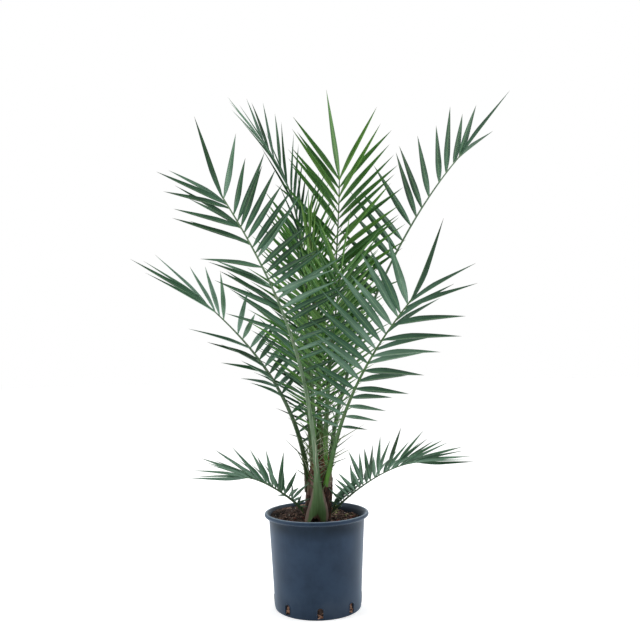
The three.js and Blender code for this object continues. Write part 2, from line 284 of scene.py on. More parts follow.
# A palm leaflet: long veins, a paler midrib, a thin light margin, waxy patches, a dry point, dark tips and
# painted shade on one half of the fold.
def makeBladeGroup():
    group, wires, given, out = newGroup("leafletFace", {
        "Body": (0.05, 0.13, 0.06, 1), "Shade": (0.03, 0.08, 0.04, 1), "Midrib": (0.2, 0.32, 0.12, 1),
        "Bloom": (0.25, 0.36, 0.28, 1), "Dry Point": (0.25, 0.14, 0.06, 1), "Bloom Amount": 0.3,
        "Underside Bloom": 0.3, "Foot Bloom": 0.35, "Half Shade": 0.6, "Dry Length": 0.03, "Vein Depth": 0.4,
    }, {"Color": "Color", "Roughness": "Float", "Normal": "Vector"})
    spot = wires.spot()
    across, along, fromMiddle = wires.bladeMap()
    wide = wires.noise(spot, 38.0, 1.0)
    length = wires.timesPlus(along, 2.5, wide)
    drawn = wires.joined(wires.times(across, 12.0), length, wires.times(wide, 5.0))
    streak = wires.noise(drawn, 1.0, 2.0)
    # painted shade: one half of each leaflet's vee is dimmed as if turned from the light, and the colour also
    # deepens towards the point
    paintedHalfShadeAndDarkTips = wires.times(wires.ramp(across, 0.47, 0.53), given["Half Shade"])
    paintedHalfShadeAndDarkTips = wires.math("MAXIMUM", paintedHalfShadeAndDarkTips, wires.times(wires.ramp(along, 0.6, 0.98), 0.6))
    lighter = wires.times(wires.ramp(streak, 0.36, 0.64), wires.minus(1.0, paintedHalfShadeAndDarkTips))
    color = wires.blend(lighter, given["Shade"], given["Body"])
    waxy = wires.times(wires.ramp(wires.noise(spot, 9.0, 2.0), 0.35, 0.75), given["Bloom Amount"])
    waxy = wires.timesPlus(wires.ramp(along, 0.5, 0.06), given["Foot Bloom"], waxy)
    waxy = wires.times(waxy, wires.minus(1.0, wires.times(paintedHalfShadeAndDarkTips, 0.6)))
    under = wires.add("Attribute", attribute_name="underside").outputs["Fac"]
    waxy = wires.timesPlus(under, given["Underside Bloom"], waxy, clamp=True)
    color = wires.blend(waxy, color, given["Bloom"])
    color = wires.tint(color, given["Midrib"], wires.ramp(fromMiddle, 0.1, 0.02), 0.5)
    color = wires.tint(color, given["Bloom"], wires.ramp(fromMiddle, 0.465, 0.495), 0.45)
    color = wires.tint(color, given["Midrib"], wires.ramp(along, 0.055, 0.0), 0.8)
    ragged = wires.timesPlus(wide, 0.05, along)
    dry = wires.ramp(wires.minus(ragged, wires.minus(1.03, given["Dry Length"])), -0.012, 0.012)
    rough = wires.ramp(streak, 0.2, 0.8, 0.38, 0.54, soft=False)
    vein = wires.math("SINE", wires.times(across, 125.0))
    height = wires.timesPlus(streak, 1.0, wires.times(vein, 0.1))
    wires.fill(out, {
        "Color": wires.blend(dry, color, given["Dry Point"]),
        "Roughness": wires.timesPlus(dry, 0.35, rough),
        "Normal": wires.bump(given["Vein Depth"], 0.0006, height),
    })
    return group


# Long plant fibre, for petioles, leaf bases, bark and threads: streaks that run up the piece.
def makeFibreGroup():
    group, wires, given, out = newGroup("longFibre", {
        "Light": (0.3, 0.3, 0.2, 1), "Dark": (0.1, 0.1, 0.05, 1), "Fleck": (0.3, 0.2, 0.1, 1),
        "Fleck Amount": 0.2, "Fineness": 300.0, "Stretch": 0.08, "Depth": 0.4,
    }, {"Color": "Color", "Mask": "Float", "Normal": "Vector"})
    spot = wires.spot()
    drawn = wires.scaled(spot, wires.joined(1.0, 1.0, given["Stretch"]))
    streak = wires.noise(drawn, given["Fineness"], 4.0, 0.6)
    color = wires.blend(wires.ramp(streak, 0.32, 0.7), given["Dark"], given["Light"])
    fleck = wires.ramp(wires.noise(spot, 55.0), 0.5, 0.68)
    wires.fill(out, {
        "Color": wires.tint(color, given["Fleck"], fleck, given["Fleck Amount"]), "Mask": streak,
        "Normal": wires.bump(given["Depth"], 0.0012, streak),
    })
    return group


# Earthy grain: crumbs of two sizes, for the potting mix and what lies on it.
def makeCrumbGroup():
    group, wires, given, out = newGroup("earthCrumb", {
        "Light": (0.12, 0.07, 0.04, 1), "Dark": (0.02, 0.014, 0.01, 1), "Scale": 300.0, "Depth": 0.6,
    }, {"Color": "Color", "Mask": "Float", "Normal": "Vector"})
    spot = wires.spot()
    fine = wires.noise(spot, given["Scale"], 5.0, 0.7)
    coarse = wires.noise(spot, wires.times(given["Scale"], 0.2), 2.0)
    both = wires.timesPlus(coarse, 0.6, wires.times(fine, 0.5))
    share = wires.ramp(both, 0.4, 0.72)
    wires.fill(out, {
        "Color": wires.blend(share, given["Dark"], given["Light"]), "Mask": share,
        "Normal": wires.bump(given["Depth"], 0.0015, both),
    })
    return group


# A finish that is one group on a shader. Its values are tones as a screen shows them, or plain numbers.
def makeGrainMaterial(name, group, roughness, specular, labels, values):
    material, wires, shader = newMaterial(name, roughness, specular)
    own = {label: seenTone(*v) if isinstance(v, tuple) else v for label, v in zip(labels, values)}
    grain = wires.add("Group", own, node_tree=group).outputs
    for label, socket in (("Color", "Base Color"), ("Roughness", "Roughness"), ("Normal", "Normal")):
        if label in grain:
            wires.fill(shader, {socket: grain[label]})
    finishes[name] = material
    return wires, shader, grain


# A rib: fibrous green, with a tone of its own at the foot and dry mauve edges where the sheath widens.
def makeRibMaterial(name, light, dark, edge, foot):
    wires, shader, grain = makeGrainMaterial(
        name, fibreGroup, 0.5, 0.4, fibreLabels, (light, dark, edge, 0.25, 260.0, 0.25))
    _, along, fromMiddle = wires.bladeMap()
    footLight = seenTone(*foot)
    footDark = (*(0.6 * c for c in footLight[:3]), 1)
    footTone = wires.blend(grain["Mask"], footDark, footLight)
    color = wires.tint(grain["Color"], footTone, wires.ramp(along, 0.2, 0.05), 0.85)
    wander = wires.timesPlus(grain["Mask"], 0.16, fromMiddle)
    edgeShare = wires.times(wires.ramp(wander, 0.4, 0.52), wires.ramp(along, 0.11, 0.05))
    color = wires.blend(edgeShare, color, seenTone(*edge))
    torn = wires.timesPlus(fromMiddle, 0.09, wires.timesPlus(grain["Mask"], -0.03, along))
    color = wires.blend(wires.ramp(torn, 0.014, 0.0), color, seenTone(66, 46, 36))
    wires.fill(shader, {"Base Color": color})


# Satin moulded plastic: cloudy colour, faint upright flow lines, a band of shade under the rim,
# dust low on the wall, a painted highlight along the top of the rim and painted shade inside.
def makePotMaterial():
    material, wires, shader = newMaterial("slatePlastic", 0.42, 0.26)
    spot = wires.spot()
    height = wires.add("SeparateXYZ", {0: spot}).outputs[2]
    cloud = wires.noise(spot, 14.0, 4.0, 0.6)
    fine = wires.noise(spot, 900.0, 3.0, 0.6)
    flow = wires.noise(wires.scaled(spot, (1, 1, 0.06)), 120.0, 3.0, 0.6)
    color = wires.blend(wires.ramp(cloud, 0.3, 0.7), seenTone(36, 51, 71), seenTone(48, 65, 88))
    color = wires.tint(color, seenTone(50, 66, 86), wires.ramp(flow, 0.5, 0.75), 0.25)
    shade = wires.times(wires.ramp(height, 0.168, 0.2), wires.ramp(cloud, 0.3, 0.55, 0.4, 1.0))
    shade = wires.times(shade, wires.ramp(height, 0.2095, 0.2075))
    color = wires.tint(color, seenTone(16, 24, 34), shade, 0.85)
    dust = wires.times(wires.ramp(height, 0.07, 0.0), wires.ramp(cloud, 0.42, 0.7))
    color = wires.tint(color, seenTone(88, 92, 96), dust, 0.3)
    # painted highlight: a pale line along the top of the rim, where the roll catches the light above
    paintedRimHighlight = wires.times(wires.ramp(height, 0.2156, 0.2168), wires.ramp(fine, 0.2, 0.6, 0.6, 1.0))
    color = wires.tint(color, seenTone(124, 140, 154), paintedRimHighlight, 0.85)
    # painted shade: faces that look in towards the pot's axis, on the inner wall, are made near black as if
    # in shadow
    facing = wires.add("TexCoord").outputs["Normal"]
    level = wires.scaled(spot, (1, 1, 0))
    outward = wires.add("VectorMath", {0: facing, 1: level}, operation="DOT_PRODUCT").outputs["Value"]
    color = wires.tint(color, seenTone(14, 18, 24), wires.ramp(outward, -0.02, -0.07), 0.75)
    rough = wires.ramp(cloud, 0.25, 0.75, 0.36, 0.5, soft=False)
    relief = wires.timesPlus(fine, 0.3, wires.times(flow, 0.5))
    wires.fill(shader, {
        "Base Color": color, "Roughness": wires.timesPlus(dust, 0.2, rough),
        "Normal": wires.bump(0.18, 0.0006, relief), "Specular Tint": (0.6, 0.8, 1.0, 1.0),
        "Sheen Weight": 0.5, "Sheen Roughness": 0.42, "Sheen Tint": (0.62, 0.8, 1.0, 1.0),
    })
    finishes["slatePlastic"] = material


leafLabels = ("Body", "Shade", "Midrib", "Bloom", "Bloom Amount", "Dry Point")
leafTones = {  # body, shade, midrib, waxy bloom, and how much bloom
    "leafDeep": ((32, 76, 35), (10, 34, 14), (104, 142, 88), (78, 116, 92), 0.2),
    "leafGlaucous": ((45, 92, 52), (18, 50, 27), (116, 152, 104), (92, 132, 108), 0.28),
    "leafPale": ((72, 121, 84), (38, 80, 50), (144, 176, 140), (132, 166, 146), 0.4),
    "leafHazy": ((80, 122, 94), (46, 84, 60), (146, 176, 150), (148, 180, 164), 0.5),
    "leafGrass": ((90, 150, 66), (44, 98, 36), (146, 188, 98), (130, 172, 116), 0.28),
    "leafMeadow": ((74, 132, 60), (35, 84, 35), (128, 168, 92), (112, 154, 104), 0.3),
    "leafYoung": ((104, 158, 66), (62, 118, 42), (160, 196, 104), (144, 184, 118), 0.28),
    "leafSpear": ((94, 144, 54), (60, 112, 36), (150, 186, 92), (140, 178, 104), 0.25),
}
dryTone = (104, 88, 68)
ribTones = {  # light streak, dark streak, edge of the sheath, and the foot's tone
    "ribGlaucous": ((116, 142, 112), (74, 104, 72), (112, 104, 94), (86, 116, 68)),
    "ribGreen": ((92, 128, 78), (56, 92, 46), (112, 104, 84), (96, 156, 46)),
    "ribOlive": ((96, 124, 58), (58, 84, 34), (112, 104, 70), (92, 122, 46)),
    "ribDark": ((76, 108, 68), (44, 74, 42), (104, 94, 82), (74, 104, 54)),
    "ribSilver": ((152, 168, 148), (104, 126, 100), (124, 116, 102), (106, 142, 76)),
    "ribSheath": ((138, 162, 130), (86, 116, 82), (126, 106, 96), (80, 120, 58)),
}
fibreLabels = ("Light", "Dark", "Fleck", "Fleck Amount", "Fineness", "Depth", "Stretch")
fibreFinishes = {  # light streak, dark streak, fleck and its amount, fineness, depth, stretch, roughness
    "barkFibre": ((74, 54, 48), (24, 17, 17), (110, 90, 80), 0.35, 420.0, 0.9, 0.08, 0.85),
    "oldLeafBase": ((124, 98, 90), (56, 40, 38), (156, 136, 124), 0.5, 300.0, 0.7, 0.08, 0.85),
    "darkLeafBase": ((88, 66, 58), (36, 26, 24), (120, 98, 86), 0.5, 300.0, 0.7, 0.08, 0.85),
    "dryLeafBase": ((146, 124, 116), (84, 66, 62), (170, 152, 140), 0.5, 300.0, 0.7, 0.08, 0.85),
    "cutLeafBase": ((112, 122, 98), (70, 76, 62), (124, 96, 84), 0.6, 260.0, 0.5, 0.08, 0.85),
    "fibreThread": ((142, 92, 62), (82, 50, 38), (168, 128, 92), 0.4, 200.0, 0.3, 0.08, 0.85),
    "drySkin": ((186, 150, 130), (124, 92, 78), (150, 120, 100), 0.3, 200.0, 0.2, 0.08, 0.85),
    "paleThread": ((222, 226, 204), (176, 184, 152), (190, 182, 156), 0.3, 200.0, 0.2, 0.08, 0.85),
    "spineFibre": ((124, 148, 104), (84, 112, 68), (150, 150, 110), 0.3, 200.0, 0.2, 0.08, 0.5),
    "greenSpine": ((74, 112, 62), (38, 72, 34), (120, 130, 84), 0.3, 200.0, 0.2, 0.08, 0.5),
    "rootSkin": ((214, 178, 156), (156, 108, 84), (120, 80, 60), 0.5, 200.0, 0.4, 0.6, 0.85),
}
crumbLabels = ("Light", "Dark", "Scale", "Depth")
crumbFinishes = {  # light and dark crumbs, fineness, depth, roughness
    "peatMix": ((94, 76, 68), (22, 17, 16), 320.0, 0.9, 0.95),
    "barkChip": ((154, 126, 112), (44, 34, 30), 260.0, 0.6, 0.95),
    "redBarkChip": ((134, 72, 60), (64, 32, 28), 240.0, 0.6, 0.95),
    "perlite": ((236, 234, 226), (182, 178, 168), 500.0, 0.5, 0.95),
    "strawBit": ((190, 192, 134), (128, 138, 78), 300.0, 0.3, 0.7),
}
finishes = {}
bladeGroup = makeBladeGroup()
fibreGroup = makeFibreGroup()
crumbGroup = makeCrumbGroup()
for name, values in leafTones.items():
    makeGrainMaterial(name, bladeGroup, 0.6, 0.22, leafLabels, (*values, dryTone))
for name, values in ribTones.items():
    makeRibMaterial(name, *values)
for name, values in fibreFinishes.items():
    makeGrainMaterial(name, fibreGroup, values[-1], 0.25, fibreLabels, values)
for name, values in crumbFinishes.items():
    makeGrainMaterial(name, crumbGroup, values[-1], 0.25, crumbLabels, values)
makePotMaterial()
print("materials made")

pot = {
    "height": 217, "rimRadius": 120, "neckRadius": 109.5, "footRadius": 99, "wall": 2.6, "floor": 3.4,
    "rollDrop": 9.4, "neckDrop": 19, "floorRound": 1.6, "segments": 192,
    "underside": [(74, 2.4), (77, 1.9), (79, 0.5), (80.5, 0), (97.6, 0), (98.6, 0.35), (99, 1.2)],
    # the rest are distances from the neck, the roll's middle and the inner wall, and down from the top
    "flare": [(0.3, 16), (0.9, 12.6), (2.2, 10.2), (4, 9.3)],
    "lip": [(-1.8, 0.4), (-3.6, 1.8), (-5.2, 4.4)],
    "throat": [(1.2, 9), (0.3, 15)],
}
slot = {
    "count": 8, "width": 13, "height": 27, "foot": 3.4, "turn": 2.6, "cut": (-10, 8),
    "bead": 0.9, "beadEnd": 0.3, "beadOut": 0.15, "beadRoom": (2.4, 1.4, 0.4),
}


def wallRadius(height):  # outside of the straight wall
    share = height / (pot["height"] - pot["neckDrop"])
    return pot["footRadius"] + (pot["neckRadius"] - pot["footRadius"]) * share


def potProfile():  # radius and height, from the underside up the wall, over the rim and down inside
    top, neck, wall = pot["height"], pot["neckRadius"], pot["wall"]
    roll = pot["rollDrop"] / 2
    middle = pot["rimRadius"] - roll
    profile = pot["underside"] + [(wallRadius(z), z) for z in np.linspace(6, top - pot["neckDrop"], 26)]
    profile += [(neck + out, top - down) for out, down in pot["flare"]]
    for angle in np.radians(np.linspace(-76, 90, 16)):
        profile.append((middle + roll * math.cos(angle), top - roll * (1 - math.sin(angle))))
    profile += [(middle + out, top - down) for out, down in pot["lip"]]
    profile += [(neck - wall + out, top - down) for out, down in pot["throat"]]
    profile += [(wallRadius(z) - wall, z) for z in np.linspace(top - pot["neckDrop"], pot["floor"] + 2, 16)]
    return np.array(profile + [(wallRadius(0) - wall - pot["floorRound"], pot["floor"])])


def slotTurn(i):
    return i * 2 * math.pi / slot["count"] - math.pi / 2 + math.radians(slot["turn"])


def archOutline(width, height, foot, steps):  # up one side, over the top and down the other
    half = width / 2
    rise = height - half
    points = [(half, foot), (half, rise * 0.5)]
    points += [(half * math.cos(a), rise + half * math.sin(a)) for a in np.linspace(0, math.pi, steps)]
    return np.array(points + [(-half, rise * 0.5), (-half, foot)])


def makePot():
    heap = Heap()
    profile = potProfile()
    heap.addSkin(polar(profile[:, :1], around(pot["segments"]), profile[:, 1:]))
    piece = makePiece("potShell", heap, ["slatePlastic"], 35)
    cutter = Heap()
    outline = archOutline(slot["width"], slot["height"], slot["foot"], 13)
    for i in range(slot["count"]):
        out = place((math.degrees(slotTurn(i)), 1, 0))
        side = np.array((-out[1], out[0], 0))
        flat = outline[:, :1] * side + outline[:, 1:] * upright
        cutter.addSkin([flat + out * (wallRadius(0) + reach) for reach in slot["cut"]])
    tool = makePiece("slotCutter", cutter, [], 30)
    change = piece.modifiers.new("slots", "BOOLEAN")
    change.operation = "DIFFERENCE"
    change.solver = "EXACT"
    change.object = tool
    bpy.context.view_layer.update()
    cut = bpy.data.meshes.new_from_object(piece.evaluated_get(bpy.context.evaluated_depsgraph_get()))
    piece.modifiers.clear()
    piece.data = cut
    cut.materials.clear()
    cut.materials.append(finishes["slatePlastic"])
    bpy.data.objects.remove(tool)
    cut.set_sharp_from_angle(angle=math.radians(35))
    return piece


def makeSlotBeads():  # the thin raised bead round each slot
    heap = Heap()
    wider, higher, lifted = slot["beadRoom"]
    outline = archOutline(slot["width"] + wider, slot["height"] + higher, slot["foot"] + lifted, 15)
    radii = np.full(len(outline), slot["bead"])
    radii[0] = radii[-1] = slot["beadEnd"]
    for i in range(slot["count"]):
        angle = slotTurn(i) + outline[:, 0] / pot["footRadius"]
        radius = wallRadius(outline[:, 1]) + slot["beadOut"]
        heap.addStrand(polar(radius, angle, outline[:, 1]), radii, 8)
    return makePiece("slotBeads", heap, ["slatePlastic"], 60)


potShell = makePot()
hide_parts("pot")
for piece in (potShell, makeSlotBeads()):
    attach(piece, "root")
print("pot made")

mix = {
    "top": 199.0, "lumps": ((1.5, 60, 5), (1.35, 17, 6)), "heapHeading": 140, "heapRise": 13.0,
    "heapSpan": (-10, 80), "edgeDrop": 1.2, "edgeSpan": (98, 107), "segments": 128, "reach": 106,
    "gap": 0.7, "sideRelief": 0.006,
}
litter = {  # count, smallest and largest size, flatness, share of the radius it keeps to, seed, finish
    "peatCrumbs": (1500, 1.2, 4.2, 0.75, 0.98, 11, "peatMix"),
    "barkChips": (420, 3.0, 9.5, 0.42, 0.96, 23, "barkChip"),
    "redChips": (70, 4.0, 11.0, 0.4, 0.9, 37, "redBarkChip"),
    "perliteGrains": (46, 1.2, 2.6, 0.85, 0.92, 41, "perlite"),
}
lump = {
    "relief": 0.38, "breadth": (0.45, 0.95), "height": (0.5, 1), "tilt": 0.9, "radius": 0.625, "lift": 0.22,
}
redHeap = {"share": 0.6, "heading": 236, "spread": 0.9, "distance": (62, 102)}
straw = {  # heading and distance of each clump, its number of bits and its rise
    "clumps": [(254, 92, 26, 3), (228, 74, 10, 0), (100, 70, 26, 0), (20, 80, 10, 0), (22, 46, 34, 26)],
    "spread": 22, "tilt": (-0.1, 0.4), "length": (3, 12), "radius": (0.35, 0.85), "lift": 1.6, "bow": 3,
}
roots = {
    "perSlot": 9, "spread": 5.5, "rise": (3, 22), "climb": 9, "drift": 9, "wander": 1.3, "bow": 2,
    "radius": (0.5, 1.6), "room": (4.4, 24),
}


def mixRadius(height):
    return wallRadius(height) - pot["wall"] - mix["gap"]


def mixTop(x, y):
    rise = sum(height * ripple(stacked(x, y, 0), scale, seed) for height, scale, seed in mix["lumps"])
    toHeap = x * math.cos(math.radians(mix["heapHeading"])) + y * math.sin(math.radians(mix["heapHeading"]))
    rise = rise + mix["heapRise"] * smoothStep(*mix["heapSpan"], toHeap)
    return mix["top"] + rise - mix["edgeDrop"] * smoothStep(*mix["edgeSpan"], np.hypot(x, y))


def makeMixBed():
    angle = around(mix["segments"])
    rings = []
    for z in np.linspace(pot["floor"] + 0.5, mix["top"] - 4, 40):
        ring = polar(mixRadius(z), angle, z)
        ring[:, :2] *= (1 - mix["sideRelief"] * (1 + ripple(ring, 16, 9)))[:, None]
        rings.append(ring)
    for radius in np.linspace(mixRadius(mix["top"]) - 0.3, 2, 44):
        ring = polar(radius, angle, 0)
        ring[:, 2] = mixTop(ring[:, 0], ring[:, 1])
        rings.append(ring)
    heap = Heap()
    heap.addSkin(rings)
    return makePiece("pottingMix", heap, ["peatMix"], 80)


def ballTemplate(level):
    ball = bmesh.new()
    bmesh.ops.create_icosphere(ball, subdivisions=level, radius=1)
    verts = np.array([vert.co for vert in ball.verts])
    tris = np.array([[vert.index for vert in face.verts] for face in ball.faces])
    ball.free()
    return verts, tris


def scatter(name, count, small, large, flatness, reach, seed, finish):  # lumps, each with its own shape
    verts, tris = ballTemplate(2 if large > 4 else 1)
    heap = Heap()
    order = np.arange(count)
    radius = mix["reach"] * reach * np.sqrt(spray(order, seed))
    angle = 2 * math.pi * spray(order, seed + 1)
    if name == "redChips":  # most of the red bark lies at the front left
        heaped = order < count * redHeap["share"]
        angle = math.radians(redHeap["heading"]) + stray(order, seed + 1) * np.where(
            heaped, redHeap["spread"], 6.28)
        radius = np.where(heaped, deal(redHeap["distance"], order, seed), radius)
    size = between((small, large), spray(order, seed + 2) ** 2.2)  # most lumps are small
    spots = polar(radius, angle, size * flatness * lump["lift"])
    spots[:, 2] += mixTop(spots[:, 0], spots[:, 1])
    for i in order:
        shape = verts * (1 + lump["relief"] * stray(np.arange(len(verts)), seed + i * 0.37))[:, None]
        shape = shape * (1, deal(lump["breadth"], i, seed + 4), flatness * deal(lump["height"], i, seed + 5))
        spin = 6.28 * spray(i, seed + 6)
        tiltX, tiltY = (lump["tilt"] * stray(i, seed + k) for k in (7, 8))
        for axis, turn in (("Y", tiltY), ("X", tiltX), ("Z", spin)):
            shape = shape @ np.array(Matrix.Rotation(turn, 3, axis)).T
        heap.add(shape * size[i] * lump["radius"] + spots[i], tris=tris)
    return makePiece(name, heap, [finish], 30)


def makeStraw():  # dry straw and green moss bits
    heap = Heap()
    share = np.linspace(-0.5, 0.5, 5)
    index = 0
    for heading, distance, count, rise in straw["clumps"]:
        for _ in range(count):
            index += 1
            spot = place((
                heading + straw["spread"] * stray(index, 61), distance + straw["spread"] * stray(index, 62),
                rise * spray(index, 67)))
            way = polar(1, 6.28 * spray(index, 64), deal(straw["tilt"], index, 65))
            points = spot + way * deal(straw["length"], index, 63) * share[:, None]
            points[:, 2] += mixTop(spot[0], spot[1]) + straw["lift"] - straw["bow"] * share ** 2
            radii = deal(straw["radius"], index, 66) * np.array((0.5, 1, 1, 0.9, 0.4))
            heap.addStrand(points, radii, 5)
    return makePiece("strawBits", heap, ["strawBit"], 50)


def makeRoots():  # pale roots that fill the slots and creep over the root ball
    heap = Heap()
    share = np.linspace(0, 1, 9)
    for index in range(1, slot["count"] * roots["perSlot"] + 1):
        heading = math.degrees(slotTurn((index - 1) // roots["perSlot"]))
        wander = roots["wander"] * np.sin(share * 7 + 6 * spray(index, 74))
        drift = roots["drift"] * stray(index, 73)
        angle = np.radians(heading + roots["spread"] * stray(index, 71) + drift * share + wander)
        height = deal(roots["rise"], index, 72) + roots["climb"] * stray(index, 75) * share
        height = np.clip(height + 1.5 * np.sin(share * 5 + index), *roots["room"])
        radius = mixRadius(height) + 0.5 + roots["bow"] * np.sin(share * math.pi) * spray(index, 76)
        thick = between(roots["radius"], spray(index, 77) ** 2)
        heap.addStrand(polar(radius, angle, height), thick * np.interp(share, (0, 0.5, 1), (0.7, 1, 0.35)), 7)
    return makePiece("slotRoots", heap, ["rootSkin"], 50)


mixPieces = [makeMixBed()]
mixPieces += [scatter(name, *values) for name, values in litter.items()]
mixPieces += [makeStraw(), makeRoots()]
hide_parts("pottingSoil")
for piece in mixPieces:
    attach(piece, "root")
print("potting mix made")

# The trunk is a bulb of old leaf bases.
trunk = {
    "x": 9, "y": 4, "foot": 196, "top": 385, "lean": 0.075, "leanFrom": 290, "segments": 144,
    "heights": [196, 212, 240, 275, 296, 312, 328, 345, 366, 385],
    "radii": [27, 28, 28.5, 28, 25.5, 20, 17, 12, 7, 4.5], "sunk": 1.6, "ridge": 0.55, "lump": 1.2,
}
stubs = {
    "headings": [12, 52, 118, 150, 205, 342], "rises": [292, 268, 284, 256, 286, 270],
    "length": 34, "width": 19, "depth": 8, "lean": 9, "out": 27, "taper": 0.36, "inside": 0.45,
    "bevel": (0.93, 0.9), "torn": 0.9,
}
scales = {  # closing: how the bases draw in above the bulb's shoulder
    "count": 22, "turn": 137.5, "foot": 196, "climb": 4.6, "length": (36.8, 55.2), "width": (27.9, 34.1),
    "thickness": 2.6, "edge": 0.25, "taper": 0.42, "sunk": (0.6, 0.8), "flare": 2.2, "torn": 1.6,
    "closing": ((300, 340.5), (1, 0.55)),
}
threads = {  # every third one starts high, and every second one slants less
    "count": 520, "radius": (0.204, 0.51), "dry": 0.22, "slant": (2.0, 0.9), "proud": 1.4, "wave": 0.9,
    "heights": (200, 275, 300, 330, 385, 420), "radii": (28.5, 29, 26, 19, 8, 6),
    "low": {"foot": (198, 283), "length": (26, 66)}, "high": {"foot": (262, 326), "length": (40, 86)},
}


def trunkAxis(height):  # the stem leans a little to the right as it rises
    shift = trunk["lean"] * (np.asarray(height, float) - trunk["leanFrom"])
    return stacked(trunk["x"] + shift, trunk["y"], 0)


def bulbRadius(height):
    return np.interp(height, trunk["heights"], trunk["radii"])


def makeBulb():
    angle = around(trunk["segments"])
    rings = []
    for z in np.linspace(trunk["foot"], trunk["top"], 90):
        ridges = 0.5 * np.sin(angle * 31 + z * 0.05) + 0.5 * np.sin(angle * 47 - z * 0.08 + 2)
        relief = trunk["ridge"] * ridges + trunk["lump"] * ripple(polar(36, angle, z * 0.3), 22, 12)
        radius = bulbRadius(z) - trunk["sunk"] + relief * min(1, bulbRadius(z) / 25)
        rings.append(polar(radius, angle, z) + trunkAxis(z))
    heap = Heap()
    heap.addSkin(rings)
    return makePiece("bulbFibre", heap, ["barkFibre"], 70)


def makeLeafBases():  # overlapping torn bases in a spiral, each hugging the bulb
    heap = Heap()
    across = np.linspace(-1, 1, 13)
    order = np.arange(len(across))
    rounded = np.sqrt(np.clip(1.02 - across ** 2, 0, 1))
    for i in range(scales["count"]):
        heading = math.radians(i * scales["turn"] + 30)
        length = deal(scales["length"], i, 81)
        rings = []
        for share in np.linspace(0, 1, 12):
            z = scales["foot"] + scales["climb"] * i + length * share
            half = deal(scales["width"], i, 82) / 2 * (1 - scales["taper"] * share)
            radius = bulbRadius(min(z, scales["closing"][0][0])) * np.interp(z, *scales["closing"])
            radius = radius - scales["sunk"][0] + scales["flare"] * share
            ragged = scales["torn"] * stray(order + len(across) * i, 83) * (share == 1)
            angle = heading + across * half / radius
            thick = scales["thickness"] * (1 - 0.5 * share) * rounded + scales["edge"]
            outer = polar(radius + thick, angle, z + ragged * 2)
            inner = polar(radius - scales["sunk"][1], angle, z + ragged)
            rings.append(np.concatenate([outer, inner[::-1]]) + trunkAxis(z))
        heap.addSkin(rings, int(spray(i, 84) * 3))
    return makePiece("oldLeafBases", heap, ["oldLeafBase", "darkLeafBase", "dryLeafBase"], 45)


def makeStubs():  # cut leaf stalks, narrower to their flat tops and flatter inside
    heap = Heap()
    ring = around(18)
    lean = math.radians(stubs["lean"])
    for i, (heading, rise) in enumerate(zip(stubs["headings"], stubs["rises"])):
        middle = rise - stubs["length"] / 2
        spin = np.array(Matrix.Rotation(math.radians(heading), 3, "Z"))
        rings = []
        for share in np.linspace(0, 1, 9):
            narrow = (1 - stubs["taper"] * share) / 2
            bevelWide, bevelDeep = stubs["bevel"] if share == 1 else (1, 1)
            wide = stubs["width"] * narrow * bevelWide * np.sin(ring)
            deep = stubs["depth"] * narrow * bevelDeep * np.cos(ring)
            deep = np.where(deep < 0, deep * stubs["inside"], deep)
            z = (share - 0.5) * stubs["length"] + (share == 1) * stubs["torn"] * np.sin(ring * 3 + i)
            out = deep * math.cos(lean) + z * math.sin(lean) + stubs["out"]
            turned = stacked(out, wide, z * math.cos(lean) - deep * math.sin(lean) + middle)
            rings.append(turned @ spin.T + trunkAxis(middle))
        heap.addSkin(rings)
    return makePiece("cutLeafStubs", heap, ["cutLeafBase"], 40)


def makeThreads():  # coarse brown fibre that wraps the bulb and rises between the petioles
    heap = Heap()
    share = np.linspace(0, 1, 10)
    for i in range(threads["count"]):
        band = threads["low"] if i % 3 else threads["high"]
        z = deal(band["foot"], i, 91) + deal(band["length"], i, 92) * share
        slant = stray(i, 93) * threads["slant"][i % 2]
        angle = 6.28 * spray(i, 94) + slant * share + 0.05 * np.sin(share * 9 + i)
        radius = np.interp(z, threads["heights"], threads["radii"]) + threads["proud"] * spray(i, 95)
        radius = radius + threads["wave"] * np.sin(share * 5 + 6 * spray(i, 96))
        thick = deal(threads["radius"], i, 97) * np.interp(share, (0, 0.6, 1), (1, 0.8, 0.3))
        heap.addStrand(polar(radius, angle, z) + trunkAxis(z), thick, 5, int(spray(i, 98) < threads["dry"]))
    return makePiece("fibreThreads", heap, ["fibreThread", "drySkin"], 60)


# The crown: each frond grows by the source's rule, with more and finer leaflets.
usualFrond = {  # the values that most fronds share
    "pull": (0.4, 0.3),  # how far each end holds its direction
    "turn": 0,  # degrees by which the last leaflet leaves the rib's line
    "sheath": (0, 30),  # how much wider the foot is, and the length over which that fades
    "sway": (0, 1),  # how far the foot's end is pushed sideways, and the length over which that fades
    "notch": (0, 0, 1, 1),  # height, middle and half width of a notch in the foot's end, and its fade
    "bend": 1.2,  # how late the spread narrows
    "grow": 2.2,  # how soon leaflets reach full length
    "taper": 0.1,  # how much shorter leaflets get towards the tip
    "crowd": 0.9,  # how evenly leaflets are spaced, closer together towards the tip when it is smaller
    "bunch": 0,  # how far leaflets of one row gather in threes, as a share of their spacing
    "rank": 9,  # degrees by which neighbours stand above and below the vee
    "last": 0.95,  # length of the last leaflet, as a share of the others'
    "lastRoll": 0,  # degrees by which the last leaflet is turned from edge-on
    "loss": (0, 0),  # which row has lost leaflets, and the share that is lost
    "gaps": (),  # row, start and end of bare stretches
    "swept": (),  # row, degrees by which its leaflets point more along the rib, and up to which rank
    "hugging": 0,  # number of leaflets that lie along the foot of the rib
}
